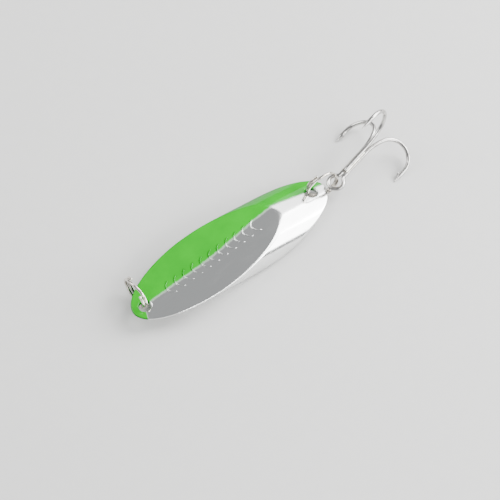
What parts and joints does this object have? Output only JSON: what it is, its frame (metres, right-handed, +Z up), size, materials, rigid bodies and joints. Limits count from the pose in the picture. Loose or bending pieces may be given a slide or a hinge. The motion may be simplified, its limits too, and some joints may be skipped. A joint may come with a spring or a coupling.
{
  "type": "spoon lure",
  "caption": "Casting spoon lure: slanted slice of oval bar with a crescent scale row, split rings through nose and tail holes, and a treble hook hanging on the tail ring.",
  "frame": {"origin": "middle of the whole lure's box, on the table it lies on", "axes": "+Z up from the table, +X from the nose to the tail along the lure, +Y towards the side the nose ring stands on"},
  "size_m": [0.0692, 0.0166, 0.0146],
  "materials": {
    "painted_blank": "bright green lacquer over bright nickel plating, gloss",
    "ring_wire": "nickel-plated spring wire, bright",
    "hook_wire": "nickel-plated hook wire, bright",
    "hook_braze": "plated braze, satin"
  },
  "bodies": {
    "blank": {"spoon_blank": "painted_blank"},
    "nose_ring": {"nose_split_ring": "ring_wire"},
    "tail_ring": {"tail_split_ring": "ring_wire"},
    "treble": {"hook_pair_wire": "hook_wire", "hook_third_wire": "hook_wire", "hook_braze": "hook_braze"}
  },
  "joints": [
    {"name": "nose_ring_swing", "type": "hinge", "parent": "blank", "child": "nose_ring", "pos_m": [-0.03195, -0.00018, 0.00363], "axis": [-0.0349, 0, 0.9994], "range_deg": [-5, 195]},
    {"name": "tail_ring_turn", "type": "hinge", "parent": "blank", "child": "tail_ring", "pos_m": [0.01273, -0.00046, 0.00157], "axis": [-0.2756, -0.9613, 0], "range_deg": [-90, 0]},
    {"name": "treble_swing", "type": "hinge", "parent": "tail_ring", "child": "treble", "pos_m": [0.01719, -0.00173, 0.00275], "axis": [0, 0, 1], "range_deg": [-90, 90]}
  ]
}
